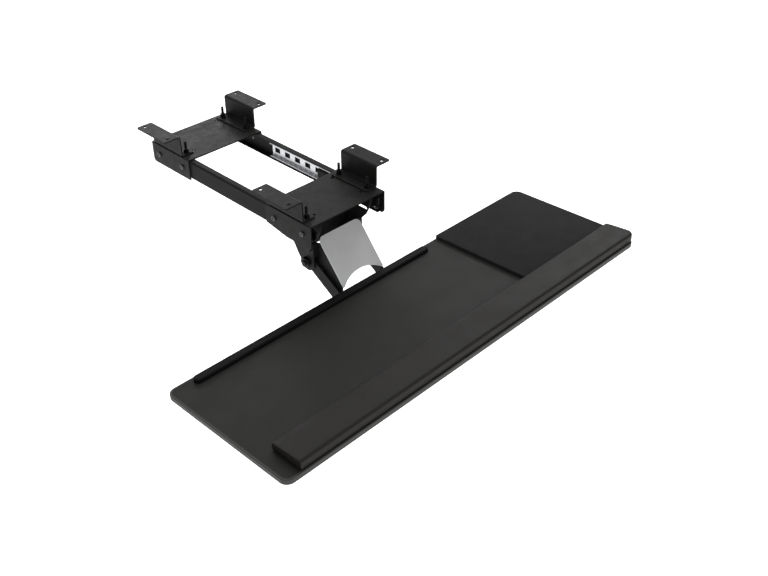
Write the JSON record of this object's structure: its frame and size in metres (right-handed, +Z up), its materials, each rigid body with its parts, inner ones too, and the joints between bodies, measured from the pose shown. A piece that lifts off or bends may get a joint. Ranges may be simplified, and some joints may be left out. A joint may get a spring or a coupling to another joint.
{
  "type": "keyboard tray under desk",
  "caption": "Thin tray with a palm rest, cloth pad and stop bar for a keys unit, on a swinging arm that slides in ball rails under a desk top.",
  "frame": {"origin": "centre of the eight desk screws, in the plane of the desk's underside", "axes": "+X across the desk to the user's right, +Y to the back of the desk, +Z up"},
  "size_m": [0.626, 0.5706, 0.1767],
  "materials": {
    "frame_black": "satin black powder coat",
    "rail_black": "satin black zinc plate",
    "arm_black": "satin black powder coat",
    "cover_grey": "satin mid grey powder coat",
    "cage_zinc": "bright pressed steel",
    "ball_steel": "polished steel",
    "screw_zinc": "bright zinc plate",
    "screw_black": "black zinc plate",
    "bumper_rubber": "matt",
    "washer_nylon": "matt",
    "tray_laminate": "dark grey laminate on fibreboard, fine grain",
    "bar_rubber": "matt",
    "edge_plastic": "satin dark grey",
    "palm_base_board": "matt",
    "palm_leather": "matt dark grey leatherette, fine grain",
    "pad_cloth": "fine woven cloth",
    "knob_plastic": "matt moulded"
  },
  "bodies": {
    "frame": {"cross_plate_front": "frame_black", "cross_plate_rear": "frame_black", "bracket_front_left": "frame_black", "bracket_front_right": "frame_black", "bracket_rear_left": "frame_black", "bracket_rear_right": "frame_black", "bracket_studs": "screw_black", "bracket_washers": "screw_black", "bracket_nuts": "screw_black", "slide_outer_left": "rail_black", "slide_outer_right": "rail_black", "slide_screws": "screw_zinc", "slide_bumpers": "bumper_rubber"},
    "cages": {"ball_cage_left": "cage_zinc", "ball_cage_right": "cage_zinc", "slide_balls_left": "ball_steel", "slide_balls_right": "ball_steel"},
    "carriage": {"slide_inner_left": "rail_black", "slide_inner_right": "rail_black", "carriage_bridge": "frame_black", "bridge_screws": "screw_black", "gooseneck_left": "frame_black", "gooseneck_web": "frame_black", "gooseneck_right": "frame_black", "gooseneck_bolts": "screw_black", "stop_bolts": "screw_black", "swing_shaft": "screw_black", "swing_nuts": "screw_black", "swing_washers": "washer_nylon"},
    "arm": {"arm_bar_left": "arm_black", "arm_bar_right": "arm_black", "arm_cheek_left": "arm_black", "arm_cheek_right": "arm_black", "arm_cover": "cover_grey", "swing_tube": "arm_black", "tilt_tube": "arm_black"},
    "tray": {"tray_board": "tray_laminate", "edge_moulding": "edge_plastic", "stop_bar": "bar_rubber", "palm_base": "palm_base_board", "palm_rest": "palm_leather", "mouse_pad": "pad_cloth", "tray_bracket_left": "arm_black", "tray_bracket_right": "arm_black", "tray_screws": "screw_zinc", "tilt_shaft": "screw_zinc", "tilt_nut": "screw_zinc", "tilt_washers": "washer_nylon"},
    "knob": {"tilt_knob": "knob_plastic"}
  },
  "joints": [
    {"name": "carriage_slide", "type": "slide", "parent": "frame", "child": "carriage", "axis": [0, 1, 0], "range_m": [0, 0.21]},
    {"name": "cage_slide", "type": "slide", "parent": "frame", "child": "cages", "axis": [0, 1, 0], "range_m": [0, 0.105]},
    {"name": "arm_swing", "type": "hinge", "parent": "carriage", "child": "arm", "pos_m": [0, -0.138, -0.106], "axis": [-1, 0, 0], "range_deg": [-15, 6]},
    {"name": "tray_tilt", "type": "hinge", "parent": "arm", "child": "tray", "pos_m": [0, -0.227, -0.16096], "axis": [1, 0, 0], "range_deg": [-2, 20]},
    {"name": "knob_turn", "type": "hinge", "parent": "tray", "child": "knob", "pos_m": [0, -0.227, -0.16096], "axis": [1, 0, 0], "range_deg": [0, 180]}
  ],
  "couplings": [
    {"joint": "cage_slide", "follows": "carriage_slide", "ratio": 0.5}
  ]
}
